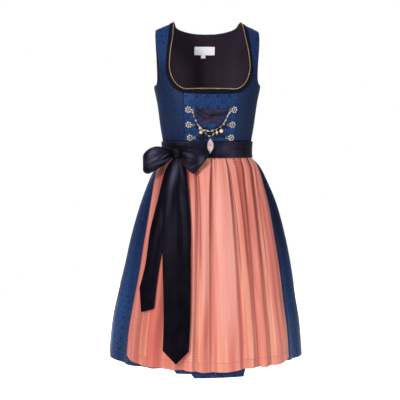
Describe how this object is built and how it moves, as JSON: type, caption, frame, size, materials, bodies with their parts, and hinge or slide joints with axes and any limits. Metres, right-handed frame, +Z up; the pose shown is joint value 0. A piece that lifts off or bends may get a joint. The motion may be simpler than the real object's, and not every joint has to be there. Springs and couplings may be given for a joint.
{
  "type": "dirndl",
  "caption": "Sleeveless laced bodice with a velvet-edged square neck, a full knee-length skirt, and a striped apron tied at the wearer's right with a large satin bow.",
  "frame": {"origin": "midway between the tops of the two shoulder straps at the neck, where the wearer's shoulders carry the dress", "axes": "+Z up, -Y out of the front of the dress, +X to the wearer's left"},
  "size_m": [0.599, 0.4796, 1.0248],
  "materials": {
    "jacquard": "blue jacquard with small dark diamonds and a fine leaf scatter",
    "velvet": "dark navy velvet",
    "braid": "fine twisted gold-bronze braid",
    "lining": "smooth dark lining",
    "apron_satin": "coral satin with woven lengthwise stripes",
    "ribbon_satin": "midnight blue satin",
    "label_tape": "bare woven tape",
    "hook_metal": "antiqued silver-gold filigree",
    "pearl": "pearl lustre",
    "shell": "rose mother-of-pearl in a metal frame"
  },
  "bodies": {
    "dress": {"bodice_front_centre": "jacquard", "bodice_front_side_left": "jacquard", "bodice_front_side_right": "jacquard", "bodice_back_centre": "jacquard", "bodice_back_side_left": "jacquard", "bodice_back_side_right": "jacquard", "lining_back": "lining", "label": "label_tape", "size_tab": "label_tape", "neck_velvet_front": "velvet", "neck_velvet_back": "velvet", "neck_braid_front": "braid", "neck_braid_back": "braid", "skirt_front": "jacquard", "skirt_back": "jacquard", "apron": "apron_satin", "apron_waistband": "ribbon_satin", "tie_round_back": "ribbon_satin", "bow_knot": "ribbon_satin", "bow_loop_left": "ribbon_satin", "bow_loop_right": "ribbon_satin", "bow_tail_long": "ribbon_satin", "bow_tail_short": "ribbon_satin", "hook_top_right": "hook_metal", "hook_middle_right": "hook_metal", "hook_bottom_right": "hook_metal", "hook_top_left": "hook_metal", "hook_middle_left": "hook_metal", "hook_bottom_left": "hook_metal", "lace_top": "ribbon_satin", "lace_upper_under": "ribbon_satin", "lace_upper_over": "ribbon_satin", "lace_lower_under": "ribbon_satin", "lace_lower_over": "ribbon_satin", "lace_knot": "ribbon_satin", "chain_upper": "hook_metal", "chain_lower": "hook_metal"},
    "pendant": {"pendant": "shell"},
    "pearl_right": {"pearl_right": "pearl"},
    "pearl_small": {"pearl_small": "pearl"},
    "pearl_left": {"pearl_left": "pearl"}
  },
  "joints": [
    {"name": "pendant_swing", "type": "hinge", "parent": "dress", "child": "pendant", "pos_m": [0, -0.1004, -0.33937], "axis": [-1, 0, 0], "range_deg": [0, 75]},
    {"name": "pearl_right_swing", "type": "hinge", "parent": "dress", "child": "pearl_right", "pos_m": [-0.027, -0.10564, -0.31717], "axis": [-0.8089, -0.0797, 0.5825], "range_deg": [0, 75]},
    {"name": "pearl_small_swing", "type": "hinge", "parent": "dress", "child": "pearl_small", "pos_m": [0.0175, -0.10553, -0.31934], "axis": [-0.9019, 0.0905, -0.4223], "range_deg": [0, 75]},
    {"name": "pearl_left_swing", "type": "hinge", "parent": "dress", "child": "pearl_left", "pos_m": [0.0295, -0.10711, -0.31188], "axis": [-0.7737, 0.0918, -0.6269], "range_deg": [0, 75]}
  ]
}
